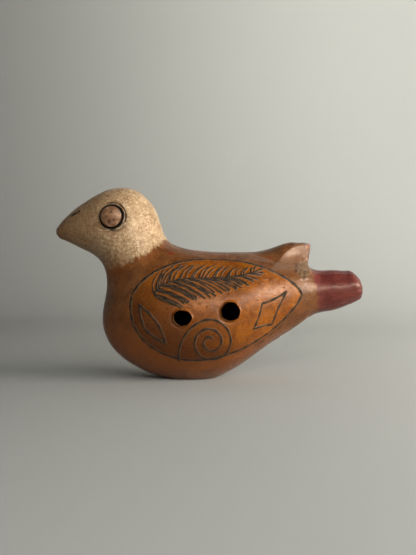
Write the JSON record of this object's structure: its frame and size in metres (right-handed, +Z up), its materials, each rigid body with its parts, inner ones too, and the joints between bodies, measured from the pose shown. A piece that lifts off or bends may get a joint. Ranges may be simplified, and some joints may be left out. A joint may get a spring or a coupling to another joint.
{
  "type": "ocarina",
  "caption": "Burnished clay bird ocarina: hollow two-bowl body with finger holes, solid head, pinched tail fin and a slipped mouthpiece at the tail.",
  "frame": {"origin": "centre of the small flat on the belly that the ocarina stands on", "axes": "+Z up, +X from the head to the mouthpiece, -Y towards the bird's left side"},
  "size_m": [0.128, 0.0504, 0.0792],
  "materials": {
    "cream_slip": "burnished cream slip, mottled, with a ragged brushed edge",
    "brown_clay": "burnished brown clay with incised lines and an orange-slipped wing panel",
    "eye_clay": "pinkish-brown burnished clay pellet",
    "fin_clay": "light brown clay, burnished on the sides and rough at the back",
    "red_slip": "burnished maroon slip"
  },
  "bodies": {
    "root": {"head": "cream_slip", "neck_collar": "cream_slip", "eye_left": "eye_clay", "eye_right": "eye_clay", "breast_bowl": "brown_clay", "rump_bowl": "brown_clay", "sound_edge": "brown_clay", "tail_fin": "fin_clay", "mouthpiece_roof": "red_slip", "mouthpiece_floor": "red_slip"}
  },
  "joints": []
}
